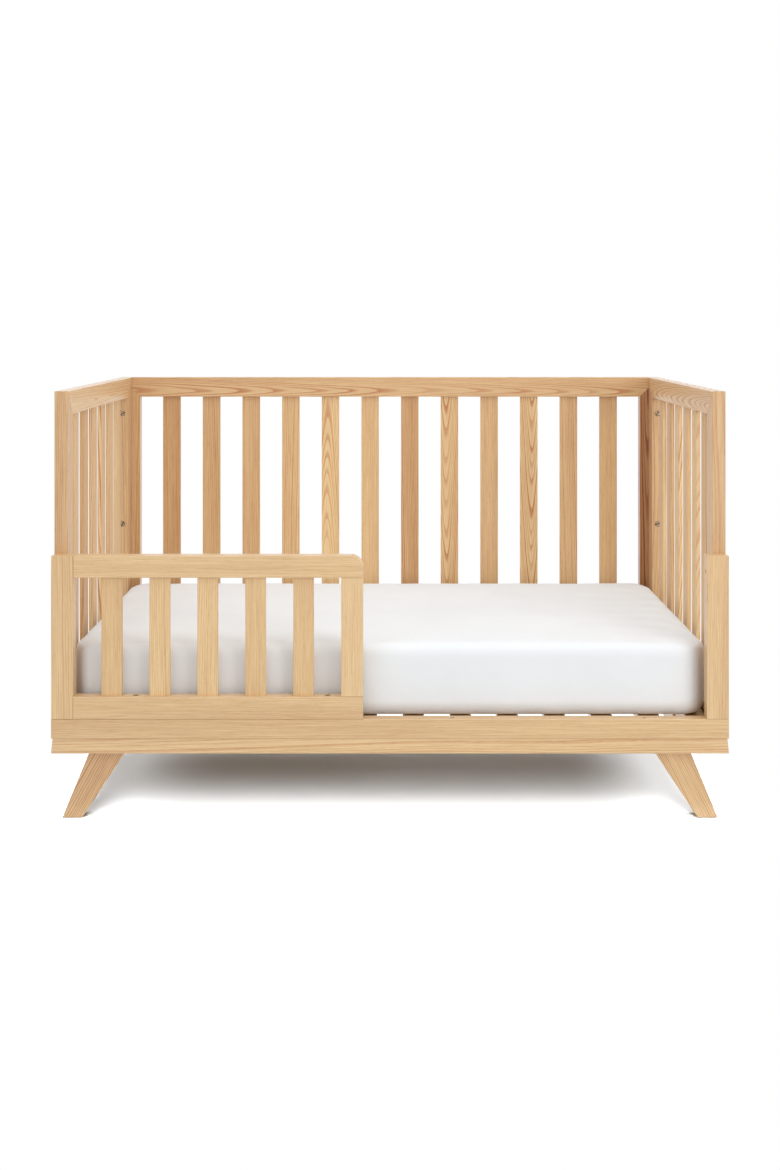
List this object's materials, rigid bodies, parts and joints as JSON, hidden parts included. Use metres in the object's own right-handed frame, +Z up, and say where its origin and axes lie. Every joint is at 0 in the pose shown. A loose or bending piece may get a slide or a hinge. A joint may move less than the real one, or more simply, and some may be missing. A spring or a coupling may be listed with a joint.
{
  "type": "baby crib",
  "caption": "Wooden slatted baby crib set up as a toddler bed, with a short front guard, splayed tapered legs, a height-adjustable slatted support and a sheeted mattress.",
  "frame": {"origin": "on the floor, under the middle of the crib's outer box", "axes": "+X along the length to the right as seen from the front, +Y from the guarded front to the back panel, +Z up"},
  "size_m": [1.386, 0.766, 0.885],
  "materials": {
    "oak_frame": "clear satin lacquer over straight-grained oak",
    "oak_slat": "clear satin lacquer over oak, each slat its own tone",
    "oak_base": "clear satin lacquer over oak with strong grain",
    "oak_support": "sanded oak, lightly sealed",
    "sheet": "white woven cotton, stretched over the mattress",
    "steel": "nickel-plated steel"
  },
  "bodies": {
    "crib_frame": {"back_panel_left_stile": "oak_frame", "back_panel_right_stile": "oak_frame", "back_panel_top_rail": "oak_frame", "back_panel_bottom_rail": "oak_frame", "back_panel_slat_1": "oak_slat", "back_panel_slat_2": "oak_slat", "back_panel_slat_3": "oak_slat", "back_panel_slat_4": "oak_slat", "back_panel_slat_5": "oak_slat", "back_panel_slat_6": "oak_slat", "back_panel_slat_7": "oak_slat", "back_panel_slat_8": "oak_slat", "back_panel_slat_9": "oak_slat", "back_panel_slat_10": "oak_slat", "back_panel_slat_11": "oak_slat", "back_panel_slat_12": "oak_slat", "left_side_front_stile": "oak_frame", "left_side_rear_stile": "oak_frame", "left_side_top_rail": "oak_frame", "left_side_bottom_rail": "oak_frame", "left_side_slat_1": "oak_slat", "left_side_slat_2": "oak_slat", "left_side_slat_3": "oak_slat", "left_side_slat_4": "oak_slat", "left_side_slat_5": "oak_slat", "left_side_slat_6": "oak_slat", "right_side_front_stile": "oak_frame", "right_side_rear_stile": "oak_frame", "right_side_top_rail": "oak_frame", "right_side_bottom_rail": "oak_frame", "right_side_slat_1": "oak_slat", "right_side_slat_2": "oak_slat", "right_side_slat_3": "oak_slat", "right_side_slat_4": "oak_slat", "right_side_slat_5": "oak_slat", "right_side_slat_6": "oak_slat", "front_rail": "oak_frame", "front_left_post": "oak_frame", "front_right_post": "oak_frame", "guard_top_rail": "oak_frame", "guard_bottom_rail": "oak_frame", "guard_end_stile": "oak_frame", "guard_slat_1": "oak_slat", "guard_slat_2": "oak_slat", "guard_slat_3": "oak_slat", "guard_slat_4": "oak_slat", "guard_slat_5": "oak_slat", "guard_bolt_1": "steel", "guard_bolt_2": "steel", "base_front_board": "oak_base", "base_right_board": "oak_base", "base_back_board": "oak_base", "base_left_board": "oak_base", "leg_front_left": "oak_base", "leg_front_right": "oak_base", "leg_back_left": "oak_base", "leg_back_right": "oak_base"},
    "mattress_support": {"mattress_support": "oak_support"},
    "mattress": {"mattress": "sheet"}
  },
  "joints": [
    {"name": "support_height", "type": "slide", "parent": "crib_frame", "child": "mattress_support", "axis": [0, 0, 1], "range_m": [0, 0.242]},
    {"name": "mattress_lift", "type": "slide", "parent": "mattress_support", "child": "mattress", "axis": [0, 0, 1], "range_m": [0, 0.7]}
  ]
}
